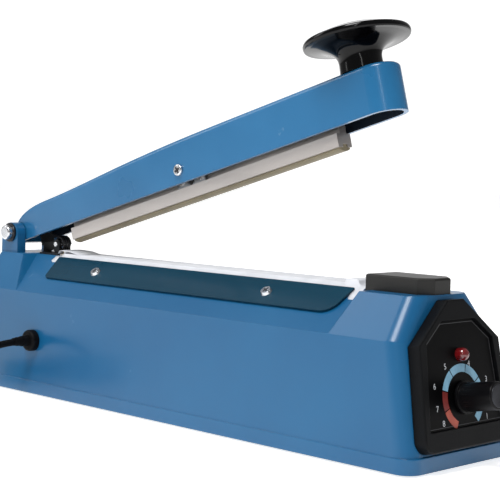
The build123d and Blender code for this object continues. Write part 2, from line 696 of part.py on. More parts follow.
with BuildPart() as hinge_nut:
    with BuildSketch(Plane.XZ.offset(-LUG_OUT - 1.0)):
        with Locations((HX, HZ)):
            RegularPolygon(4.0, 6, major_radius=False)
            Circle(2.55, mode=Mode.SUBTRACT)
    extrude(amount=-3.9)
save(hinge_nut.part, "hinge_nut")

# ---------------------------------------------------------------- return spring and its bracket
with BuildPart() as spring_bracket:
    with BuildSketch(Plane.XY.offset(MID_Z)):
        with Locations((-137.9, 0)):
            Rectangle(17.8, 16.0)
    extrude(amount=1.0)
    with BuildSketch(Plane.XZ):
        Polygon((-148.1, TOP_R + 0.1), (-145.6, TOP_R + 0.1), (-145.6, MID_Z + 1.3), (-147.1, MID_Z + 1.6), (-147.1, 83.0), (-148.1, 83.0), align=None)
    extrude(amount=4.5, both=True)
    for s in (-1, 1):
        with BuildSketch(Plane.XZ.offset(s * 3.8)):
            with BuildLine():
                Polyline((-137.8, MID_Z), (-137.8, SPRING_Z), (-133.4, SPRING_Z), (-133.4, MID_Z), (-137.8, MID_Z))
            make_face()
            with Locations((SPRING_X, SPRING_Z)):
                Circle(2.6)
        extrude(amount=0.4, both=True)
    with BuildSketch(Plane.XZ):
        with Locations((SPRING_X, SPRING_Z)):
            Circle(1.52)
    extrude(amount=10, both=True, mode=Mode.SUBTRACT)
    with BuildSketch(Plane.XY.offset(MID_Z - 1)):
        with Locations((SPRING_X - 7.9, 0)):
            Circle(1.4)
    extrude(amount=3, mode=Mode.SUBTRACT)
save(spring_bracket.part, "spring_bracket")

with BuildPart() as spring_pin:
    with BuildSketch(Plane.XZ):
        with Locations((SPRING_X, SPRING_Z)):
            Circle(1.5)
    extrude(amount=5.2, both=True)
save(spring_pin.part, "spring_pin")

SPRING_R = 4.3
with BuildPart() as return_spring:
    with BuildLine() as coil_line:
        Helix(pitch=1.6, height=5.2, radius=SPRING_R, center=(SPRING_X, -2.6, SPRING_Z), direction=(0, 1, 0))
    with BuildSketch(Plane(origin=coil_line.line @ 0, z_dir=coil_line.line % 0)):
        Circle(0.6)
    sweep(path=coil_line.line, is_frenet=True)
save(return_spring.part, "return_spring")

with BuildPart() as button_spring:
    with BuildLine() as button_coil:
        Helix(pitch=1.5, height=5.0, radius=3.9, center=(STEM_X, 0, 60.45))
    with BuildSketch(Plane(origin=button_coil.line @ 0, z_dir=button_coil.line % 0)):
        Circle(0.35)
    sweep(path=button_coil.line, is_frenet=True)
save(button_spring.part, "button_spring")

# ---------------------------------------------------------------- arm
ARM_TOP = [(180.0, 17.4), (142.0, 17.1), (90.0, 15.4), (33.0, 13.0), (8.0, 10.9), (-1.5, 6.6), (-5.6, 1.0), (-6.4, ARM_BOT)]
POSTS = (BAR_MID - 62.0, BAR_MID + 62.0)     # seats of the bar springs
with BuildPart() as arm_outer:
    with BuildSketch(arm_side()):
        with BuildLine():
            Polyline((-6.4, ARM_BOT), (ARM_END + 2, ARM_BOT), (ARM_END + 2, 17.4), (180.0, 17.4))
            Spline(*ARM_TOP, tangents=[(-1, 0), (0, -1)])
        make_face()
    extrude(amount=ARM_Y, both=True)
    with BuildSketch(arm_plan(-30)):
        with Locations((ARM_END - ARM_Y - 150, 0)):
            Rectangle(300, 2 * ARM_Y)
        with Locations((ARM_END - ARM_Y, 0)):
            Circle(ARM_Y)
    extrude(amount=70, mode=Mode.INTERSECT)

with BuildPart() as arm_inner:
    with BuildSketch(arm_side()):
        Polygon((-3.4, ARM_BOT - 2), (ARM_END, ARM_BOT - 2), (ARM_END, 15.0), (142, 14.7), (90, 12.9), (33, 10.5), (8, 8.2),
                (2.0, 5.2), (-3.4, 1.0), align=None)
    extrude(amount=ARM_Y - ARM_T, both=True)
    with BuildSketch(arm_plan(-30)):
        with Locations((ARM_END - ARM_Y - 150, 0)):
            Rectangle(300, 2 * (ARM_Y - ARM_T))
        with Locations((ARM_END - ARM_Y, 0)):
            Circle(ARM_Y - ARM_T)
    extrude(amount=70, mode=Mode.INTERSECT)

with BuildPart() as arm_shell:
    add(arm_outer.part)
    under = Plane(origin=(HX - so * ARM_BOT, 0, HZ + co * ARM_BOT), z_dir=(-so, 0, co))
    top = [e for e in arm_shell.edges()
           if under.to_local_coords(e.center()).Z > 1 and e.length > 30 or e.geom_type == GeomType.BSPLINE]
    fillet(top, 2.0)
    add(arm_inner.part, mode=Mode.SUBTRACT)
    # screw post of the handle, seats of the bar springs
    with BuildSketch(arm_plan(2.0)):
        with Locations((KNOB_S, 0)):
            Circle(6.0)
    extrude(amount=14.2)
    with BuildSketch(arm_plan(11.4)):
        with Locations(*[(s, 0) for s in POSTS]):
            Circle(4.0)
    extrude(amount=3.6)
    with BuildSketch(arm_plan(0)):
        with Locations((KNOB_S, 0)):
            Circle(2.1)
    extrude(amount=30, mode=Mode.SUBTRACT)
    # cross screw of the bar, hinge bushes, screw of the stop
    with BuildSketch(arm_side()):
        with Locations((BAR_MID, PIVOT_N)):
            Circle(2.0)
        with Locations((0, 0)):
            Circle(4.0)
    extrude(amount=30, both=True, mode=Mode.SUBTRACT)
save(arm_shell.part, "arm_shell")

with BuildPart() as arm_bushes:
    for s in (-1, 1):
        with BuildSketch(Plane.XZ.offset(-s * 9.0)):
            with Locations((HX, HZ)):
                Circle(4.0)
                Circle(BOLT_R + 0.05, mode=Mode.SUBTRACT)
        extrude(amount=-s * 2.3)
        with BuildSketch(Plane.XZ.offset(-s * 10.9)):
            with Locations((HX, HZ)):
                Circle(4.9)
                Circle(BOLT_R + 0.05, mode=Mode.SUBTRACT)
        extrude(amount=-s * 0.35)
save(arm_bushes.part, "arm_bushes")

with BuildPart() as arm_stop:
    with BuildSketch(arm_side()):
        Polygon((10.6, 8.4), (11.8, 8.5), (11.8, -10.6), (10.6, -10.6), align=None)
    extrude(amount=4.2, both=True)
    with BuildSketch(arm_side()):
        Polygon((11.2, 7.2), (26.0, 8.5), (26.0, 9.83), (10.6, 8.42), align=None)
    extrude(amount=6.0, both=True)
save(arm_stop.part, "arm_stop")

with BuildPart() as cross_screw:
    with BuildSketch(arm_side(ARM_Y)):
        with Locations((BAR_MID, PIVOT_N)):
            Circle(1.98)
    extrude(amount=2 * ARM_Y)
    with BuildSketch(arm_side(-ARM_Y)):
        with Locations((BAR_MID, PIVOT_N)):
            Circle(3.1)
    extrude(amount=1.7)
    fillet(cross_screw.faces().sort_by(Axis.Y)[0].edges(), 0.8)
    with BuildSketch(arm_side(ARM_Y + 2.6)):
        with Locations((BAR_MID, PIVOT_N)):
            Circle(1.98)
    extrude(amount=3)
save(cross_screw.part, "cross_screw")

with BuildPart() as cross_screw_nut:
    with BuildSketch(arm_side(ARM_Y + 2.2)):
        with Locations((BAR_MID, PIVOT_N)):
            RegularPolygon(3.5, 6, major_radius=False)
            Circle(2.0, mode=Mode.SUBTRACT)
    extrude(amount=2.2)
save(cross_screw_nut.part, "cross_screw_nut")

# ---------------------------------------------------------------- pressing bar
with BuildPart() as press_bar:
    with BuildSketch(arm_cross(BAR_A)):
        with BuildLine():
            Polyline((-4.8, -6.8), (-4.8, -13.5), (-1.6, -13.5), (-1.6, -12.0), (1.6, -12.0), (1.6, -13.5), (4.8, -13.5),
                     (4.8, -6.8), (2.2, -6.8), (2.2, 0.5), (-2.2, 0.5), (-2.2, -6.8), (-4.8, -6.8))
        make_face()
    extrude(amount=BAR_B - BAR_A)
    with BuildSketch(arm_side()):
        with Locations((BAR_MID, -2.4)):
            Rectangle(8.0, 8.6)
        with Locations((BAR_MID - 7.6, -3.2), (BAR_MID + 7.6, -3.2)):
            Circle(1.25)
    extrude(amount=10, both=True, mode=Mode.SUBTRACT)
save(press_bar.part, "press_bar")

with BuildPart() as silicone_strip:
    with BuildSketch(arm_cross(BAR_A + 0.5)) as lip:
        with BuildLine():
            Polyline((-1.5, -12.05), (1.5, -12.05), (1.5, -13.55), (3.6, -13.55), (3.6, -14.3))
            ThreePointArc((3.6, -14.3), (0, -15.3), (-3.6, -14.3))
            Polyline((-3.6, -14.3), (-3.6, -13.55), (-1.5, -13.55), (-1.5, -12.05))
        make_face()
    extrude(amount=BAR_B - BAR_A - 1.0)
save(silicone_strip.part, "silicone_strip")

with BuildPart() as bar_hanger:
    for s in (-1, 1):
        with BuildSketch(arm_side(s * 3.0)):
            with BuildLine():
                Polyline((BAR_MID - 11, -6.7), (BAR_MID + 11, -6.7), (BAR_MID + 11, 0.8), (BAR_MID + 5.5, 6.0), (BAR_MID - 5.5, 6.0),
                         (BAR_MID - 11, 0.8), (BAR_MID - 11, -6.7))
            make_face()
            with Locations((BAR_MID, (PIVOT_N + 2.35 - 6.4) / 2)):
                SlotOverall(PIVOT_N + 2.35 + 6.4, 4.7, rotation=90, mode=Mode.SUBTRACT)
            with Locations((BAR_MID - 7.6, -3.2), (BAR_MID + 7.6, -3.2)):
                Circle(1.25, mode=Mode.SUBTRACT)
        extrude(amount=0.75, both=True)
save(bar_hanger.part, "bar_hanger")

with BuildPart() as hanger_rivets:
    for x in (BAR_MID - 7.6, BAR_MID + 7.6):
        with BuildSketch(arm_side()):
            with Locations((x, -3.2)):
                Circle(1.2)
        extrude(amount=3.9, both=True)
        for s in (-1, 1):
            with BuildSketch(arm_side(-s * 3.75)):
                with Locations((x, -3.2)):
                    Circle(2.2)
            extrude(amount=s * 1.0)
save(hanger_rivets.part, "hanger_rivets")

with BuildPart() as bar_springs:
    for x in POSTS:
        with BuildLine() as bar_coil:
            Helix(pitch=2.1, height=9.9, radius=3.0, center=(HX + co * x - so * 0.95, 0, HZ + so * x + co * 0.95), direction=(-so, 0, co))
        with BuildSketch(Plane(origin=bar_coil.line @ 0, z_dir=bar_coil.line % 0)):
            Circle(0.35)
        sweep(path=bar_coil.line, is_frenet=True)
save(bar_springs.part, "bar_springs")

# ---------------------------------------------------------------- handle
with BuildPart() as handle_knob:
    with BuildSketch(arm_side()):
        with BuildLine():
            Polyline((KNOB_S, 17.5), (KNOB_S + 10.6, 17.5), (KNOB_S + 10.3, 22.0))
            Spline((KNOB_S + 10.3, 22.0), (KNOB_S + 11.6, 27.0), (KNOB_S + 16.5, 30.2), (KNOB_S + 23.0, 31.7),
                   tangents=[(-0.05, 1), (1, 0.15)])
            Line((KNOB_S + 23.0, 31.7), (KNOB_S + 25.2, 31.9))
            ThreePointArc((KNOB_S + 25.2, 31.9), (KNOB_S + 25.7, 33.3), (KNOB_S + 25.2, 34.7))
            Line((KNOB_S + 25.2, 34.7), (KNOB_S + 22.5, 35.6))
            Spline((KNOB_S + 22.5, 35.6), (KNOB_S + 16.0, 38.0), (KNOB_S + 9.5, 39.3), (KNOB_S, 39.5), tangents=[(-1, 0.3), (-1, 0)])
            Line((KNOB_S, 39.5), (KNOB_S, 17.5))
        make_face()
    revolve(axis=Axis((HX + co * KNOB_S, 0, HZ + so * KNOB_S), (-so, 0, co)), revolution_arc=360)
    with BuildSketch(arm_plan(17.0)):
        with Locations((KNOB_S, 0)):
            Circle(1.95)
    extrude(amount=12, mode=Mode.SUBTRACT)
save(handle_knob.part, "handle_knob")

with BuildPart() as handle_screw:
    with BuildSketch(arm_plan(-0.6)):
        with Locations((KNOB_S, 0)):
            Circle(3.6)
    extrude(amount=2.6)
    with BuildSketch(arm_plan(1.5)):
        with Locations((KNOB_S, 0)):
            Circle(1.9)
    extrude(amount=24.5)
save(handle_screw.part, "handle_screw")

# ---------------------------------------------------------------- transformer and wiring
TX = 10.0                     # middle of the transformer along x
with BuildPart() as transformer_core:
    with BuildSketch(Plane.XZ):
        with Locations((TX, 27.0)):
            Rectangle(52.0, 43.0)
        with Locations((TX - 13, 27.0), (TX + 13, 27.0)):
            Rectangle(9.0, 26.0, mode=Mode.SUBTRACT)
    extrude(amount=12.0, both=True)
save(transformer_core.part, "transformer_core")

with BuildPart() as transformer_winding:
    with BuildSketch(Plane.XY.offset(14.3)):
        with Locations((TX, 0)):
            RectangleRounded(34.4, 40.0, 5.0)
            Rectangle(17.2, 24.4, mode=Mode.SUBTRACT)
    extrude(amount=25.4)
save(transformer_winding.part, "transformer_winding")

with BuildPart() as transformer_bracket:
    with BuildSketch(Plane.XZ):
        Polygon((TX - 42, FOOT + 1.75), (TX + 42, FOOT + 1.75), (TX + 42, 5.4), (TX - 42, 5.4), align=None)
    extrude(amount=11.0, both=True)
    with BuildSketch(Plane.XZ):
        Polygon((TX - 27.8, 4.0), (TX - 26.1, 4.0), (TX - 26.1, 48.7), (TX + 26.1, 48.7), (TX + 26.1, 4.0), (TX + 27.8, 4.0),
                (TX + 27.8, 50.2), (TX - 27.8, 50.2), align=None)
    extrude(amount=9.0, both=True)
    with BuildSketch(Plane.XY):
        with Locations((TX - 35, 0), (TX + 35, 0)):
            Circle(1.6)
    extrude(amount=10, mode=Mode.SUBTRACT)
save(transformer_bracket.part, "transformer_bracket")

with BuildPart() as terminal_block:
    with BuildSketch(Plane.XY.offset(FOOT + 1.75)):
        with Locations((-82.0, -8.0)):
            RectangleRounded(30, 16, 1)
    extrude(amount=13.0)
    with BuildSketch(Plane.XY.offset(FOOT + 8.0)):
        with Locations((-91.0, -8.0), (-82.0, -8.0), (-73.0, -8.0)):
            Circle(2.2)
    extrude(amount=10, mode=Mode.SUBTRACT)
save(terminal_block.part, "terminal_block")

with BuildPart() as inner_screws:
    # circuit board
    for y, v in ((-19.5, 18), (19.5, 18), (-19.5, 48), (19.5, 48)):
        with BuildSketch(front_at(-9.8)):
            with Locations((y, v)):
                Circle(2.1)
        extrude(amount=1.4)
        with BuildSketch(front_at(-8.4)):
            with Locations((y, v)):
                Circle(1.15)
        extrude(amount=6.5)
    # microswitch
    with BuildSketch(Plane.XZ.offset(-5.2)):
        with Locations((SWX + 4.3, 46.4), (SWX + 13.8, 46.4)):
            Circle(1.15)
    extrude(amount=9.0)
    with BuildSketch(Plane.XZ.offset(3.2)):
        with Locations((SWX + 4.3, 46.4), (SWX + 13.8, 46.4)):
            Circle(2.1)
    extrude(amount=1.4)
    # transformer
    with BuildSketch(Plane.XY.offset(FOOT + 0.6)):
        with Locations((TX - 35, 0), (TX + 35, 0)):
            Circle(1.5)
    extrude(amount=5.8)
    with BuildSketch(Plane.XY.offset(5.4)):
        with Locations((TX - 35, 0), (TX + 35, 0)):
            Circle(2.8)
    extrude(amount=1.8)
    # terminals
    with BuildSketch(Plane.XY.offset(FOOT + 8.0)):
        with Locations((-91.0, -8.0), (-82.0, -8.0), (-73.0, -8.0)):
            Circle(2.0)
    extrude(amount=5.0)
save(inner_screws.part, "inner_screws")


def tube(points, radius, d):
    with BuildLine() as ln:
        FilletPolyline(*points, radius=radius)
    w = ln.line
    with BuildSketch(Plane(origin=w @ 0, z_dir=w % 0)) as sec:
        Circle(d / 2)
    return w, sec.sketch


ELEMENT_LEADS = [
    [(LEADS[0], 0, TAPE_Z + 0.15), (LEADS[0], 0, 60.0), (-40.0, 0, 54.0), (TX - 6, 0, 54.0)],
    [(LEADS[1], 0, TAPE_Z + 0.15), (LEADS[1], 0, 66.0), (LEADS[1] - 20, 0, 54.0), (TX + 6, 0, 54.0)],
]
MAINS_LEADS = [
    [(-113.0, -30.0, GLAND_Z), (-113.0, -20.0, GLAND_Z), (-91.0, -8.0, 30.0), (-91.0, -8.0, FOOT + 13.2)],
    [(-73.0, -8.0, FOOT + 13.2), (-73.0, -8.0, 34.0), (-60.0, 26.0, 34.0), (96.0, 26.0, 34.0), (110.0, 10.0, 36.0), (117.2, 1.0, 38.6)],
]
with BuildPart() as inner_leads:
    for pts in ELEMENT_LEADS:
        w, sec = tube(pts, 6.0, 1.8)
        sweep(sections=sec, path=w)
    for pts in MAINS_LEADS:
        w, sec = tube(pts, 4.0, 2.0)
        sweep(sections=sec, path=w)
save(inner_leads.part, "inner_leads")

# ---------------------------------------------------------------- cord
with BuildPart() as cord_gland:
    with BuildSketch(Plane.XZ.offset(WALL_Y0 - 0.42)):
        with Locations((GLAND_X, GLAND_Z)):
            Circle(5.9)
    extrude(amount=4.4)
    fillet(cord_gland.faces().sort_by(Axis.Y)[0].edges(), 1.8)
    with BuildSketch(Plane.XZ.offset(WALL_Y0 - 5.0)):
        with Locations((GLAND_X, GLAND_Z)):
            Circle(3.9)
    extrude(amount=5.5)
    with BuildSketch(Plane.XZ.offset(WALL_Y0 - 5.0)):
        with Locations((GLAND_X, GLAND_Z)):
            Circle(5.6)
    extrude(amount=1.4)
    with BuildSketch(Plane.XZ.offset(WALL_Y0 + 3.0)):
        with Locations((GLAND_X, GLAND_Z)):
            Circle(3.2)
    extrude(amount=4.6, taper=4)
    with BuildSketch(Plane.XZ.offset(WALL_Y0 - 8)):
        with Locations((GLAND_X, GLAND_Z)):
            Circle(CORD_D / 2 + 0.02)
    extrude(amount=24, mode=Mode.SUBTRACT)
save(cord_gland.part, "cord_gland")

R = CORD_D / 2
CX, CY = -160.0, -110.0        # middle of the coil on the table
COIL = [(17.2, R), (21.0, R), (24.8, R), (24.8, R + CORD_D), (21.0, R + CORD_D), (17.2, R + CORD_D), (21.0, R + 2 * CORD_D), (24.8, R + 2 * CORD_D)]
LIFT = 0.8                     # the coil rests on its tie
CORD = [(GLAND_X, -30.0, GLAND_Z), (GLAND_X, -58.0, GLAND_Z), (-115.5, -73.0, 25.0), (-121.0, -86.0, 14.0),
        (-128.5, -98.0, 5.2), (-135.2, -112.0, R + LIFT)]
TAIL = [(CX - 24.8, CY, R + LIFT + 2 * CORD_D), (CX - 26.0, CY + 18.0, 8.8), (CX - 22.0, CY + 34.0, 7.6), (CX - 13.0, CY + 45.5, 7.0)]


def bend_radii(pts):
    out = []
    for a, b, c in zip(pts, pts[1:], pts[2:]):
        u, v = Vector(*b) - Vector(*a), Vector(*c) - Vector(*b)
        turn = math.radians(u.get_angle(v))
        out.append(0.45 * min(u.length, v.length) / math.tan(turn / 2))
    return out


def cord_tube(pts, d):
    rr = bend_radii(pts)
    print("radii", [round(r, 1) for r in rr], "least allowed", 5 * d)
    with BuildLine() as ln:
        FilletPolyline(*pts, radius=rr)
    return ln.line


with BuildPart() as power_cord:
    w = cord_tube(CORD, CORD_D)
    with BuildSketch(Plane(origin=w @ 0, z_dir=w % 0)) as sec:
        Circle(R)
    sweep(sections=sec.sketch, path=w)
run = sum(e.length for e in w.edges())
print("cord run", round(run, 1), "vol ratio", power_cord.part.volume / (run * math.pi * R * R))
save(power_cord.part, "power_cord")

with BuildPart() as cord_coil:
    for r, z in COIL:
        with BuildSketch(Plane.XZ.offset(-CY)):
            with Locations((CX + r, z + LIFT)):
                Circle(R + 0.12)
        revolve(axis=Axis((CX, CY, 0), (0, 0, 1)), revolution_arc=360)
save(cord_coil.part, "cord_coil")

with BuildPart() as cord_tail:
    w = cord_tube(TAIL, CORD_D)
    with BuildSketch(Plane(origin=w @ 0, z_dir=w % 0)) as sec:
        Circle(R)
    sweep(sections=sec.sketch, path=w)
run = sum(e.length for e in w.edges())
print("tail run", round(run, 1), "vol ratio", cord_tail.part.volume / (run * math.pi * R * R))
save(cord_tail.part, "cord_tail")

with BuildPart() as coil_tie:
    with BuildSketch(Plane.YZ.offset(CX)):
        with Locations((CY - 21.0, 6.55)):
            RectangleRounded(13.4, 13.1, 1.6)
            RectangleRounded(12.2, 11.9, 1.0, mode=Mode.SUBTRACT)
    extrude(amount=3.0, both=True)
save(coil_tie.part, "coil_tie")

with BuildPart() as plug_body:
    with BuildSketch(Plane.YZ.offset(CX - 13.0)):
        with Locations((CY + 45.5, 7.0)):
            RectangleRounded(10, 9, 3)
    with BuildSketch(Plane.YZ.offset(CX - 1.0)):
        with Locations((CY + 45.5, 7.0)):
            RectangleRounded(23, 13.6, 5)
    loft()
    with BuildSketch(Plane.YZ.offset(CX - 1.0)):
        with Locations((CY + 45.5, 7.0)):
            RectangleRounded(23, 13.6, 5)
    extrude(amount=18)
    with BuildSketch(Plane.YZ.offset(CX + 7.0)):
        with Locations((CY + 37.5, 7.0), (CY + 53.5, 7.0)):
            Circle(2.0)
    extrude(amount=20, mode=Mode.SUBTRACT)
save(plug_body.part, "plug_body")

with BuildPart() as plug_pins:
    for y in (-9.5 + 1.5, 9.5 - 1.5):
        with BuildSketch(Plane.YZ.offset(CX + 7.0)):
            with Locations((CY + 45.5 + y, 7.0)):
                Circle(2.0)
        extrude(amount=27.0)
    fillet(plug_pins.faces().sort_by(Axis.X)[-2:].edges(), 1.0)
save(plug_pins.part, "plug_pins")
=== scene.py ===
import bpy
import math
import random
from mathutils import Matrix, Vector


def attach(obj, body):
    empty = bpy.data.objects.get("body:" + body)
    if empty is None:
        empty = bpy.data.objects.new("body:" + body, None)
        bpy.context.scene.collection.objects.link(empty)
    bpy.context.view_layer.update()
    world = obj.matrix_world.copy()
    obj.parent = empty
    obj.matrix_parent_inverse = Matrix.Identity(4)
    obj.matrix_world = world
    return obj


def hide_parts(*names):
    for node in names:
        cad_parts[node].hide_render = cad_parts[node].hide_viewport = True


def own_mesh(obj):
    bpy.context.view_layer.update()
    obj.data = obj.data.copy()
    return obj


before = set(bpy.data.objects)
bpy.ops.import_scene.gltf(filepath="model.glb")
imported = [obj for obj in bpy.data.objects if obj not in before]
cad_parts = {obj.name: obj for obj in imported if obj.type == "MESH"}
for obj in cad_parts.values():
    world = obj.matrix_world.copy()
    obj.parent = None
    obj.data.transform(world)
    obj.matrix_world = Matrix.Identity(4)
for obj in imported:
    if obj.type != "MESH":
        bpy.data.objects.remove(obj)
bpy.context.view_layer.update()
MM = 0.001

# ------------------------------------------------------------------ camera
yaw, pitch, roll = 0.784, math.radians(3.5247), 0.0237
fwd = Vector((-math.sin(yaw) * math.cos(pitch), math.cos(yaw) * math.cos(pitch), -math.sin(pitch)))
right = Vector((math.cos(yaw), math.sin(yaw), 0.0))
up = right.cross(fwd)
r2 = math.cos(roll) * right + math.sin(roll) * up
u2 = -math.sin(roll) * right + math.cos(roll) * up
cam_data = bpy.data.cameras.new("camera")
cam_data.sensor_fit = "HORIZONTAL"
cam_data.sensor_width = 36.0
cam_data.lens = 1375.29 * 36.0 / 500.0
cam_data.dof.use_dof = False
cam_data.clip_start, cam_data.clip_end = 0.01, 100.0
cam = bpy.data.objects.new("camera", cam_data)
bpy.context.scene.collection.objects.link(cam)
m = Matrix((r2, u2, -fwd)).transposed().to_4x4()
m.translation = Vector((0.50913, -0.49116, 0.13073))
cam.matrix_world = m
bpy.context.scene.camera = cam


def link(o):
    bpy.context.scene.collection.objects.link(o)
    return o


# ------------------------------------------------------------------ cord
CD = 3.8
CR = CD / 2
GX, GZ = 154.5 - 267.6, 30.7
CX, CY, LIFT = -160.0, -110.0, 0.8
route = [(GX, -42.0, GZ), (GX, -58.0, GZ), (-115.5, -73.0, 25.0), (-121.0, -86.0, 14.0), (-128.5, -98.0, 5.2), (-135.2, -112.0, CR + LIFT)]
keys = [(0, 24.8, 0), (0.75, 24.8, 0), (1.0, 21.0, 0), (1.75, 21.0, 0), (2.0, 17.2, 0), (2.75, 17.2, 0), (2.875, 17.2, 3.8), (3.75, 17.2, 3.8),
        (4.0, 21.0, 3.8), (4.75, 21.0, 3.8), (5.0, 24.8, 3.8), (5.75, 24.8, 3.8), (5.875, 24.8, 7.6), (6.0, 21.0, 7.6), (6.75, 21.0, 7.6),
        (7.0, 24.8, 7.6), (9.0, 24.8, 7.6)]
TURN = 24
a0 = math.degrees(math.atan2(-2.0, 24.8))
total = (180.0 + a0) / 360.0 + 7.0
steps = int(total * TURN)
for i in range(1, steps + 1):
    u = total * i / steps
    for (ua, ra, za), (ub, rb, zb) in zip(keys, keys[1:]):
        if ua <= u <= ub:
            t = (u - ua) / (ub - ua)
            r, z = ra + (rb - ra) * t, za + (zb - za) * t
            break
    a = math.radians(a0 - 360.0 * u)
    r *= 1.0035
    route.append((CX + r * math.cos(a), CY + r * math.sin(a), CR + LIFT + z))
route += [(CX - 26.0, CY + 18.0, 8.8), (CX - 22.0, CY + 34.0, 7.6), (CX - 13.0, CY + 45.5, 7.0)]
curve = bpy.data.curves.new("mains_cord", "CURVE")
curve.dimensions = "3D"
sp = curve.splines.new("NURBS")
sp.points.add(len(route) - 1)
for p, q in zip(sp.points, route):
    p.co = (q[0] * MM, q[1] * MM, q[2] * MM, 1.0)
    p.radius = 0.002        # a point's radius counts in metres in the curve's box, so it is kept small
sp.order_u = 3
sp.use_endpoint_u = True
sp.resolution_u = 5
curve.bevel_depth = CR * MM / 0.002
curve.bevel_resolution = 5
curve.use_fill_caps = True
cord = link(bpy.data.objects.new("mains_cord", curve))
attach(cord, "base")
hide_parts("power_cord", "cord_coil", "cord_tail")


# ------------------------------------------------------------------ materials
def lin(c):
    return tuple((v / 255.0 / 12.92) if v / 255.0 <= 0.04045 else ((v / 255.0 + 0.055) / 1.055) ** 2.4 for v in c)


def material(name, a, b, rough=(0.3, 0.4), metallic=0.0, spec=0.5, scale=20.0, stretch=(1, 1, 1), bump=0.0, bump_scale=800.0,
             edge=0.0, coat=0.0, detail=4.0, transmission=0.0, emission=0.0, wear=None):
    """Principled material whose colour and roughness vary with procedural noise in object space."""
    mt = bpy.data.materials.new(name)
    mt.use_nodes = True
    nt = mt.node_tree
    n, l = nt.nodes, nt.links
    bs = n["Principled BSDF"]
    tc = n.new("ShaderNodeTexCoord")
    mp = n.new("ShaderNodeMapping")
    mp.inputs["Scale"].default_value = stretch
    l.new(tc.outputs["Object"], mp.inputs["Vector"])
    nz = n.new("ShaderNodeTexNoise")
    nz.inputs["Scale"].default_value = scale
    nz.inputs["Detail"].default_value = detail
    l.new(mp.outputs["Vector"], nz.inputs["Vector"])
    ramp = n.new("ShaderNodeValToRGB")
    ramp.color_ramp.elements[0].position, ramp.color_ramp.elements[1].position = 0.3, 0.7
    ramp.color_ramp.elements[0].color = (*a, 1)
    ramp.color_ramp.elements[1].color = (*b, 1)
    l.new(nz.outputs["Fac"], ramp.inputs["Fac"])
    col = ramp.outputs["Color"]
    if wear:
        wn = n.new("ShaderNodeTexNoise")
        wn.inputs["Scale"].default_value = wear[1]
        wn.inputs["Detail"].default_value = 8.0
        l.new(tc.outputs["Object"], wn.inputs["Vector"])
        wr = n.new("ShaderNodeValToRGB")
        wr.color_ramp.elements[0].position, wr.color_ramp.elements[1].position = wear[2], wear[2] + 0.06
        wr.color_ramp.elements[0].color = (0, 0, 0, 1)
        wr.color_ramp.elements[1].color = (wear[3], wear[3], wear[3], 1)
        l.new(wn.outputs["Fac"], wr.inputs["Fac"])
        mx = n.new("ShaderNodeMixRGB")
        l.new(wr.outputs["Color"], mx.inputs["Fac"])
        l.new(col, mx.inputs["Color1"])
        mx.inputs["Color2"].default_value = (*wear[0], 1)
        col = mx.outputs["Color"]
    l.new(col, bs.inputs["Base Color"])
    mr = n.new("ShaderNodeMapRange")
    mr.inputs["To Min"].default_value, mr.inputs["To Max"].default_value = rough
    l.new(nz.outputs["Fac"], mr.inputs["Value"])
    l.new(mr.outputs["Result"], bs.inputs["Roughness"])
    bs.inputs["Metallic"].default_value = metallic
    bs.inputs["Specular IOR Level"].default_value = spec
    bs.inputs["Coat Weight"].default_value = coat
    bs.inputs["Coat Roughness"].default_value = 0.12
    bs.inputs["Transmission Weight"].default_value = transmission
    if emission:
        l.new(col, bs.inputs["Emission Color"])
        bs.inputs["Emission Strength"].default_value = emission
    normal = None
    if edge:
        bv = n.new("ShaderNodeBevel")
        bv.samples = 4
        bv.inputs["Radius"].default_value = edge
        normal = bv.outputs["Normal"]
    if bump:
        bz = n.new("ShaderNodeTexNoise")
        bz.inputs["Scale"].default_value = bump_scale
        bz.inputs["Detail"].default_value = 2.0
        l.new(mp.outputs["Vector"], bz.inputs["Vector"])
        bp = n.new("ShaderNodeBump")
        bp.inputs["Strength"].default_value = bump
        bp.inputs["Distance"].default_value = 0.0002
        l.new(bz.outputs["Fac"], bp.inputs["Height"])
        if normal:
            l.new(normal, bp.inputs["Normal"])
        normal = bp.outputs["Normal"]
    if normal:
        l.new(normal, bs.inputs["Normal"])
    return mt


blue = material("blue_enamel", lin((14, 79, 121)), lin((20, 87, 129)), rough=(0.26, 0.40), spec=0.32, scale=14, bump=0.12, bump_scale=420, edge=0.0006, coat=0.1,
                wear=(lin((120, 150, 175)), 55.0, 0.705, 0.35))
blue_arm = material("blue_enamel_arm", lin((22, 88, 130)), lin((30, 98, 142)), rough=(0.22, 0.36), spec=0.4, scale=18, bump=0.15, bump_scale=420, edge=0.0005, coat=0.22,
                    wear=(lin((150, 170, 185)), 70.0, 0.69, 0.4))
# painted reflection: the work plates are bright metal; this dark teal stands in for the blue body and dark surroundings
# reflected in them
plate = material("plate_painted_reflection", lin((3, 44, 62)), lin((6, 52, 71)), rough=(0.18, 0.28), spec=0.2, scale=30, stretch=(0.3, 1, 1), edge=0.0002, coat=0.06)
panel = material("panel_plastic", lin((8, 9, 11)), lin((12, 13, 15)), rough=(0.42, 0.58), spec=0.1, scale=60, bump=0.3, bump_scale=1800, edge=0.0004)
gloss = material("polished_black", lin((2, 2, 3)), lin((4, 4, 5)), rough=(0.07, 0.12), spec=0.2, scale=25, edge=0.0003)
button = material("button_black", lin((15, 15, 14)), lin((24, 23, 21)), rough=(0.38, 0.50), spec=0.35, scale=45, bump=0.15, bump_scale=900, edge=0.0003)
inner = material("inner_plastic", lin((40, 41, 44)), lin((52, 53, 56)), rough=(0.5, 0.6), scale=40, edge=0.0002)
label = material("label_film", lin((3, 3, 4)), lin((5, 5, 6)), rough=(0.28, 0.42), spec=0.08, scale=35)
dial_black = material("dial_black", lin((4, 4, 6)), lin((7, 7, 9)), rough=(0.3, 0.42), spec=0.15, scale=60, edge=0.0004)
# painted shade: a dark blue-black standing in for the shade inside the arm, not the arm's own paint
arm_painted_shade = material("arm_painted_shade", lin((8, 18, 28)), lin((12, 24, 36)), rough=(0.5, 0.65), spec=0.15, scale=30)
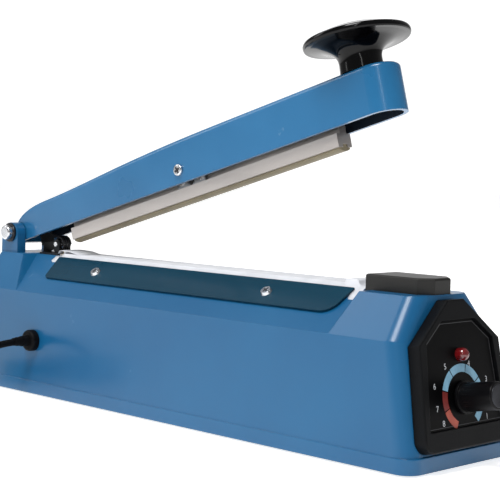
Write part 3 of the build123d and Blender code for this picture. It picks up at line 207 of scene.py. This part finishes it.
red_lens = material("red_lens", lin((84, 8, 12)), lin((104, 12, 17)), rough=(0.10, 0.2), spec=0.6, scale=300, coat=0.6)
alu = material("satin_aluminium", lin((182, 177, 174)), lin((197, 191, 187)), rough=(0.30, 0.42), metallic=0.9, scale=90, stretch=(0.08, 1, 1), edge=0.0002)
silicone = material("silicone", lin((118, 109, 88)), lin((136, 127, 104)), rough=(0.5, 0.65), scale=60, spec=0.35)
bright = material("nickel", lin((190, 192, 196)), lin((215, 217, 220)), rough=(0.16, 0.30), metallic=1.0, scale=200, edge=0.0003)
grey = material("zinc_sheet", lin((140, 144, 148)), lin((165, 168, 172)), rough=(0.32, 0.46), metallic=1.0, scale=120, edge=0.0002)
black_steel = material("black_oxide", lin((24, 25, 28)), lin((38, 39, 42)), rough=(0.32, 0.5), metallic=0.5, scale=150, edge=0.0002)
brass = material("brass", lin((190, 160, 90)), lin((212, 184, 112)), rough=(0.2, 0.34), metallic=1.0, scale=150, edge=0.0003)
cloth_m = material("ptfe_cloth", lin((188, 190, 196)), lin((206, 208, 213)), rough=(0.42, 0.58), scale=80, spec=0.45, bump=0.5, bump_scale=1500)
tape_m = material("glass_tape", lin((170, 160, 135)), lin((196, 186, 160)), rough=(0.6, 0.75), scale=200, bump=0.4, bump_scale=1500)
element_m = material("resistance_ribbon", lin((150, 146, 140)), lin((175, 170, 163)), rough=(0.3, 0.45), metallic=1.0, scale=100, stretch=(0.2, 1, 1))
rubber = material("cord_rubber", lin((5, 5, 7)), lin((9, 9, 11)), rough=(0.45, 0.62), spec=0.08, scale=70, bump=0.2, bump_scale=900)
green = material("board_green", lin((24, 96, 58)), lin((32, 112, 68)), rough=(0.3, 0.4), scale=90)
iron = material("laminations", lin((70, 70, 74)), lin((92, 92, 96)), rough=(0.5, 0.6), metallic=0.6, scale=30, stretch=(1, 40, 1))
winding = material("winding_tape", lin((150, 92, 40)), lin((176, 112, 54)), rough=(0.4, 0.55), scale=90, stretch=(1, 1, 6))
cap_m = material("knob_cap", lin((46, 47, 51)), lin((66, 67, 72)), rough=(0.22, 0.36), metallic=0.9, scale=120, edge=0.0002)
blue_ink = material("scale_blue", lin((104, 150, 176)), lin((128, 174, 198)), rough=(0.4, 0.5), scale=300)
red_ink = material("scale_red", lin((92, 26, 24)), lin((112, 34, 30)), rough=(0.4, 0.5), scale=300)
orange_ink = material("scale_orange", lin((140, 58, 44)), lin((164, 74, 56)), rough=(0.4, 0.5), scale=300)
white_ink = material("scale_white", lin((168, 172, 178)), lin((196, 200, 204)), rough=(0.4, 0.5), scale=300)
# painted shade: a dark grey for the shade inside the screws' cross recesses
recess = material("screw_recess_painted_shade", lin((34, 34, 36)), lin((52, 52, 55)), rough=(0.5, 0.6), metallic=0.5, scale=400)

LOOK = {
    "base_housing": blue, "bottom_plate": grey, "case_screws": grey, "rubber_feet": rubber, "front_bezel": panel, "dial_label": label, "indicator_lens": red_lens,
    "lamp_holder": inner, "timer_potentiometer": inner, "timer_shaft": bright, "timer_knob": dial_black, "timer_knob_cap": cap_m, "circuit_board": green,
    "inner_screws": grey, "board_components": inner, "switch_button": button, "button_guide": inner, "button_spring": bright, "microswitch_body": inner,
    "microswitch_plunger": red_lens, "microswitch_lever": bright, "bed_bar": alu, "insulating_tape": tape_m, "heating_element": element_m, "element_clamps": brass,
    "bed_screws": bright, "ptfe_cloth": cloth_m, "work_plates": plate, "plate_screws": bright, "hinge_bolt": bright, "hinge_washers": black_steel, "hinge_nut": bright,
    "spring_bracket": black_steel, "spring_pin": bright, "return_spring": black_steel, "arm_shell": blue_arm, "arm_bushes": bright, "arm_stop": black_steel,
    "cross_screw": bright, "cross_screw_nut": bright, "press_bar": alu, "silicone_strip": silicone, "bar_hanger": grey, "hanger_rivets": alu, "bar_springs": bright,
    "handle_knob": gloss, "handle_screw": bright, "transformer_core": iron, "transformer_winding": winding, "transformer_bracket": grey, "terminal_block": inner,
    "inner_leads": winding, "cord_gland": rubber, "power_cord": rubber, "cord_coil": rubber, "cord_tail": rubber, "coil_tie": panel, "plug_body": rubber, "plug_pins": brass,
}
for name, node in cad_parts.items():
    node.data.materials.clear()
    node.data.materials.append(LOOK[name])
    node.data.polygons.foreach_set("use_smooth", [True] * len(node.data.polygons))
    node.data.set_sharp_from_angle(angle=math.radians(28))
curve.materials.append(rubber)
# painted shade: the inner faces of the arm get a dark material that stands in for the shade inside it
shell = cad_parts["arm_shell"]
shell.data.materials.append(arm_painted_shade)
open_c, open_s = math.cos(math.radians(15.2)), math.sin(math.radians(15.2))
for poly in shell.data.polygons:
    c, q = shell.matrix_world @ poly.center, shell.matrix_world.to_3x3() @ poly.normal
    height = -open_s * (c.x + 0.163) + open_c * (c.z - 0.088)
    down = -open_s * q.x + open_c * q.z < -0.5 and height > 0.001
    inward = abs(q.y) > 0.5 and q.y * c.y < 0 and abs(c.y) > 0.004
    if down or inward:
        poly.material_index = 1

# ------------------------------------------------------------------ frames of reference, as in the CAD
FOOT, XF, LEAN, OPEN = 1.0, 154.5, math.radians(9.725), math.radians(15.2)
cl, sl, co, so = math.cos(LEAN), math.sin(LEAN), math.cos(OPEN), math.sin(OPEN)
HX, HZ = XF - 317.5, 88.0
MID_Y, MID_Z, CREASE_Y, CREASE_Z = 9.5, 76.1, 35.6, 56.9
ft = (CREASE_Y - MID_Y, MID_Z - CREASE_Z)
fl = math.hypot(*ft)
FN = (ft[1] / fl, ft[0] / fl)


def front(y, v, h):
    return Vector((XF + cl * h - sl * v, y, FOOT + sl * h + cl * v)) * MM


def armp(s, y, n):
    return Vector((HX + co * s - so * n, y, HZ + so * s + co * n)) * MM


def facet(side, x, d, lift):
    # d millimetres down the middle facet from its upper edge
    return Vector((x, side * (MID_Y + FN[0] * lift + d * ft[0] / fl), MID_Z + FN[1] * lift - d * ft[1] / fl)) * MM


def mesh(name, verts, faces, mat, body, smooth=False):
    me = bpy.data.meshes.new(name)
    me.from_pydata([tuple(v) for v in verts], [], faces)
    me.update()
    o = link(bpy.data.objects.new(name, me))
    me.materials.append(mat)
    if smooth:
        me.polygons.foreach_set("use_smooth", [True] * len(me.polygons))
        me.set_sharp_from_angle(angle=math.radians(35))
    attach(o, body)
    return o


def prism(name, outline, place, lo, hi, mat, body):
    """A closed outline, extruded between two heights: place(a, b, height) gives the point."""
    n = len(outline)
    verts = [place(a, b, lo) for a, b in outline] + [place(a, b, hi) for a, b in outline]
    faces = [list(range(n))[::-1], list(range(n, 2 * n))] + [[i, (i + 1) % n, n + (i + 1) % n, n + i] for i in range(n)]
    return mesh(name, verts, faces, mat, body)


def tube(name, pts, r, mat, body, sides=10, closed_ends=True):
    """A round tube along points in metres, r in millimetres."""
    pts = [Vector(p) for p in pts]
    verts, faces = [], []
    t = (pts[1] - pts[0]).normalized()
    u = t.orthogonal().normalized()
    for i, p in enumerate(pts):
        a = pts[max(0, i - 1)]
        b = pts[min(len(pts) - 1, i + 1)]
        t = (b - a).normalized()
        u = (u - t * u.dot(t)).normalized()
        w = t.cross(u)
        rr = (r[i] if isinstance(r, (list, tuple)) else r) * MM
        for k in range(sides):
            ang = 2 * math.pi * k / sides
            verts.append(p + (u * math.cos(ang) + w * math.sin(ang)) * rr)
    for i in range(len(pts) - 1):
        for k in range(sides):
            k2 = (k + 1) % sides
            faces.append([i * sides + k, i * sides + k2, (i + 1) * sides + k2, (i + 1) * sides + k])
    faces.append(list(range(sides))[::-1])
    faces.append([(len(pts) - 1) * sides + k for k in range(sides)])
    return mesh(name, verts, faces, mat, body, smooth=True)


# ------------------------------------------------------------------ dial scale
DV, LV = 30.0, 48.8
RO, RI, DY = 14.8, 11.2, -0.3
H0, H1 = 4.48, 4.58


def sector(name, a, b, mat):
    # angles run counter-clockwise from +Y, seen from the front
    k = max(4, int((b - a) / 4))
    ang = [math.radians(a + (b - a) * i / k) for i in range(k + 1)]
    outer = [(DY + RO * math.cos(t), DV + RO * math.sin(t)) for t in ang]
    innr = [(DY + RI * math.cos(t), DV + RI * math.sin(t)) for t in ang[::-1]]
    return prism(name, outer + innr, front, H0, H1, mat, "base")


for i, (a, b) in enumerate(((-52.5, -10), (-10, 32), (32, 74), (74, 122), (122, 163))):
    sector(f"scale_blue_{i}", a + 1.2, b - 1.2, blue_ink)
sector("scale_dark_red", 164.2, 198.8, red_ink)
sector("scale_orange_red", 201.2, 243, orange_ink)
# thin printed line round the label
LBL = [(-12.2, 64.2), (12.2, 64.2), (24.1, 55.2), (27.6, 17.2), (-27.6, 17.2), (-24.1, 55.2)]
cen = Vector((0, 40.0))
for i in range(6):
    a, b = Vector(LBL[i]), Vector(LBL[(i + 1) % 6])
    a2, b2 = cen + (a - cen) * 0.955, cen + (b - cen) * 0.955
    a3, b3 = cen + (a - cen) * 0.94, cen + (b - cen) * 0.94
    prism(f"label_line_{i}", [(a2.x, a2.y), (b2.x, b2.y), (b3.x, b3.y), (a3.x, a3.y)], front, H0, H1 - 0.04, inner, "base")

for ch, y, v in (("5", -11.0, 44.3), ("4", 6.2, 44.3), ("3", 17.9, 36.4), ("2", 18.2, 26.8), ("1", 15.7, 20.0), ("8", -15.9, 20.1), ("7", -19.3, 26.7), ("6", -19.8, 36.4)):
    fc = bpy.data.curves.new("digit_" + ch, "FONT")
    fc.body = ch
    fc.size = 3.7
    fc.align_x, fc.align_y = "CENTER", "CENTER"
    tmp = link(bpy.data.objects.new("tmp_" + ch, fc))
    dg = bpy.context.evaluated_depsgraph_get()
    me = bpy.data.meshes.new_from_object(tmp.evaluated_get(dg))
    bpy.data.objects.remove(tmp)
    for vert in me.vertices:
        vert.co = front(y + vert.co.x, v + vert.co.y, H1 - 0.02)
    o = link(bpy.data.objects.new("digit_" + ch, me))
    me.materials.clear()
    me.materials.append(white_ink)
    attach(o, "base")

# ------------------------------------------------------------------ screw recesses: flat dark crosses laid on the heads as painted shade
def cross(name, centre, u, w, size, width, mat, body, depth=0.0):
    nrm = u.cross(w).normalized()
    a, b = size / 2, width / 2
    out = [(-a, -b), (-b, -b), (-b, -a), (b, -a), (b, -b), (a, -b), (a, b), (b, b), (b, a), (-b, a), (-b, b), (-a, b)]
    return prism(name, out, lambda p, q, h: centre + (u * p + w * q + nrm * h) * MM, -0.3, 0.04, mat, body)


# the dark crosses on the plate screws are painted shade standing in for their recesses
for i, (side, x) in enumerate(((-1, XF - 234.0), (-1, XF - 103.5), (1, XF - 234.0), (1, XF - 103.5))):
    c = facet(side, x, 11.8, 2.9)
    nrm = Vector((0, side * FN[0], FN[1]))
    ang = (0.5, 1.1, 0.2, 0.8)[i]
    u = Vector((1, 0, 0))
    w = nrm.cross(u)
    u2_, w2_ = u * math.cos(ang) + w * math.sin(ang), -u * math.sin(ang) + w * math.cos(ang)
    cross(f"plate_screw_recess_{i}", c, u2_, w2_, 3.2, 0.8, recess, "base")
au, aw = Vector((co, 0, so)), Vector((-so, 0, co))
S_MID = (41.0 + 249.5) / 2
for ang in (0.35,):
    u_ = au * math.cos(ang) + aw * math.sin(ang)
    w_ = -au * math.sin(ang) + aw * math.cos(ang)
    cross("cross_screw_recess", armp(S_MID, -12.62, 1.3), w_, u_, 3.4, 0.85, recess, "arm")

# ------------------------------------------------------------------ legs of the return spring
SX, SZ = XF - 290.1, 82.2
leg = [Vector((SX, -2.6, SZ + 4.3)) * MM]
for i in range(1, 10):
    t = i / 9
    leg.append(Vector((SX - 1.0 - 12.5 * t, -2.6, SZ + 4.3 + 3.2 * t)) * MM)
tube("return_spring_upper_leg", leg, 0.6, black_steel, "base", 10)
low = [Vector((SX, 2.6, SZ - 4.3)) * MM, Vector((SX + 3.0, 2.6, SZ - 4.5)) * MM, Vector((SX + 5.4, 2.6, SZ - 4.6)) * MM]
tube("return_spring_lower_leg", low, 0.55, black_steel, "base", 10)

# ------------------------------------------------------------------ springs that shorten
def coil(name, base, axis, side, radius, pitch, height, r, body):
    """A round coil: base and axis in mm, side is a unit vector square to the axis."""
    third = axis.cross(side)
    n = int(height / pitch * 20)
    pts = []
    for i in range(n + 1):
        t = 2 * math.pi * height / pitch * i / n
        pts.append((base + axis * (height * i / n) + (side * math.cos(t) + third * math.sin(t)) * radius) * MM)
    return tube(name, pts, r, bright, body, 8)


o = coil("button_spring_coil", Vector((XF - 29.8, 0, 60.45)), Vector((0, 0, 1)), Vector((1, 0, 0)), 3.9, 1.5, 5.0, 0.35, "base")
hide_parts("button_spring")
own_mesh(o)
for i, x in enumerate((S_MID - 62.0, S_MID + 62.0)):
    o = coil(f"bar_spring_coil_{i}", armp(x, 0, 0.95) / MM, aw, Vector((0, 1, 0)), 3.0, 2.1, 9.9, 0.35, "arm")
    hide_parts("bar_springs")
    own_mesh(o)

# ------------------------------------------------------------------ cloth over the heating bed
random.seed(4)
CROWN = ((-123.0, 77.62), (90.8, 77.62), (91.6, 79.30), (92.6, 79.45), (98.2, 79.43), (99.0, 79.0), (99.8, 77.5), (100.8, 76.75), (104.2, 76.6))
DRAPE = ((-123.0, 5.2), (98.6, 5.2), (99.6, 9.0), (103.9, 9.0), (104.2, 8.4))


def along(table, x):
    for (xa, va), (xb, vb) in zip(table, table[1:]):
        if xa <= x <= xb:
            return va + (vb - va) * (x - xa) / (xb - xa)
    return table[-1][1]


def profile(x, lift):
    """Cross-section of the cloth at x: a list of points from one edge to the other."""
    out = []
    d = along(DRAPE, x)
    for side, ds in ((-1, (d, 0.6 * d, 1.2)), (1, (1.2, 0.6 * d, d))):
        row = [facet(side, x, q, 0.10 + lift * 0.4) for q in ds]
        out.append(row)
    ztop = along(CROWN, x)
    mid = [Vector((x, y, ztop + lift * (1 - (abs(y) / 8.4) ** 2) + (0.0 if abs(y) < 7 else -0.06))) * MM for y in (-8.6, -7.2, -4.5, -2.2, -1.0, 0.0, 1.0, 2.2, 4.5, 7.2, 8.6)]
    return out[0] + mid + out[1]


def sheet_mesh(name, rows, thick, mat, body):
    n, k = len(rows), len(rows[0])
    verts = [p for r in rows for p in r]
    faces = []
    for i in range(n - 1):
        for j in range(k - 1):
            faces.append([i * k + j, i * k + j + 1, (i + 1) * k + j + 1, (i + 1) * k + j])
    o = mesh(name, verts, faces, mat, body, smooth=True)
    mod = o.modifiers.new("thick", "SOLIDIFY")
    mod.thickness = thick * MM
    mod.offset = 1.0
    return o


rows = []
XS = [-123.0 + 213.8 * i / 90 for i in range(91)] + [91.2, 91.6, 92.1, 92.6, 94.5, 96.5, 98.2, 98.6, 99.0, 99.4, 99.8, 100.3, 100.8, 102.0, 103.9, 104.2]
for x in XS:
    w = 0.05 * math.sin(x * 0.31) * math.sin(x * 0.113 + 1.0)
    rows.append(profile(x, w))
cloth = sheet_mesh("cloth_cover", rows, 0.14, cloth_m, "base")
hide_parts("ptfe_cloth")
# ends over the two clamps
rear = []
for x, z in ((-128.6, 77.5), (-128.2, 78.4), (-127.7, 79.25), (-126.2, 79.42), (-124.5, 79.38), (-123.3, 79.3), (-122.9, 79.0), (-122.7, 78.3), (-122.6, 77.7)):
    rear.append([Vector((x, y, z - 0.35 * (abs(y) / 8.4) ** 4)) * MM for y in (-8.4, -6.0, -3.0, 0.0, 3.0, 6.0, 8.4)])
o = sheet_mesh("cloth_rear_end", rear, 0.14, cloth_m, "base")
hump = []
for x, z in ((-122.6, 79.2), (-120.5, 79.25), (-118.0, 79.15), (-115.5, 78.75), (-113.0, 78.3), (-110.5, 77.95), (-108.0, 77.78)):
    hump.append([Vector((x, y, z - 0.35 * (abs(y) / 8.4) ** 4)) * MM for y in (-8.4, -6.0, -3.0, 0.0, 3.0, 6.0, 8.4)])
o = sheet_mesh("cloth_rear_hump", hump, 0.14, cloth_m, "base")
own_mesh(o)
# the cloth hangs down the facets behind the plates
for side in (-1, 1):
    fr = []
    for x, dmax in ((-128.4, 4.6), (-126.0, 6.0), (-123.2, 5.4)):
        fr.append([facet(side, x, 0.2 + (dmax - 0.2) * j / 4, 0.12) for j in range(5)])
    o = sheet_mesh(f"cloth_rear_flap_{'near' if side < 0 else 'far'}", fr if side > 0 else [r[::-1] for r in fr], 0.14, cloth_m, "base")

# ------------------------------------------------------------------ strain relief of the cord
relief = [Vector((GX, -41.0 - 9.0 * i / 8, GZ)) * MM for i in range(9)]
rr = [3.1, 3.0, 2.95, 2.55, 2.75, 2.35, 2.55, 2.15, 2.2]
tube("cord_strain_relief", relief, rr, rubber, "base", 20)

# ------------------------------------------------------------------ stage
AMBIENT = 0.28
floor_m = material("floor", (0.80, 0.80, 0.80), (0.84, 0.84, 0.84), rough=(0.7, 0.8), spec=0.05, scale=2.0, emission=0.88)
bpy.ops.mesh.primitive_plane_add(size=12, location=(0, 0, 0))
floor = bpy.context.object
floor.name = "floor"
floor.data.materials.append(floor_m)

# a white backdrop behind the object, dimmer walls elsewhere
world = bpy.data.worlds.new("studio")
bpy.context.scene.world = world
world.use_nodes = True
wn, wl = world.node_tree.nodes, world.node_tree.links
bg = wn["Background"]
tcw = wn.new("ShaderNodeTexCoord")
dot = wn.new("ShaderNodeVectorMath")
dot.operation = "DOT_PRODUCT"
dot.inputs[1].default_value = (-0.7050, 0.7066, 0.06)
wl.new(tcw.outputs["Generated"], dot.inputs[0])
mrw = wn.new("ShaderNodeMapRange")
mrw.interpolation_type = "SMOOTHSTEP"
mrw.inputs["From Min"].default_value, mrw.inputs["From Max"].default_value = 0.80, 0.93
mrw.inputs["To Min"].default_value, mrw.inputs["To Max"].default_value = AMBIENT, 1.15
wl.new(dot.outputs["Value"], mrw.inputs["Value"])
bg.inputs["Color"].default_value = (1, 1, 1, 1)
wl.new(mrw.outputs["Result"], bg.inputs["Strength"])


def area(name, loc, target, size, power, size_y=None):
    ld = bpy.data.lights.new(name, "AREA")
    ld.shape = "RECTANGLE"
    ld.size = size
    ld.size_y = size_y or size
    ld.energy = power
    lo = link(bpy.data.objects.new(name, ld))
    lo.location = loc
    lo.rotation_mode = "QUATERNION"
    lo.rotation_quaternion = (Vector(target) - Vector(loc)).to_track_quat("-Z", "Y")
    return lo


area("key", (0.25, -0.75, 1.5), (0, 0, 0.08), 0.6, 26)
area("fill", (-1.5, -1.1, 0.8), (0, 0, 0.1), 0.7, 6.0)
area("shoulder", (-0.88, -0.36, 1.12), (0, 0, 0.1), 0.5, 2.6)
area("strip", (0.85, -0.95, 0.65), (0.1, 0, 0.13), 0.06, 1.2, 0.7)
bpy.context.scene.view_settings.view_transform = "Standard"
bpy.context.scene.view_settings.look = "None"
bpy.context.scene.view_settings.exposure = 0.0
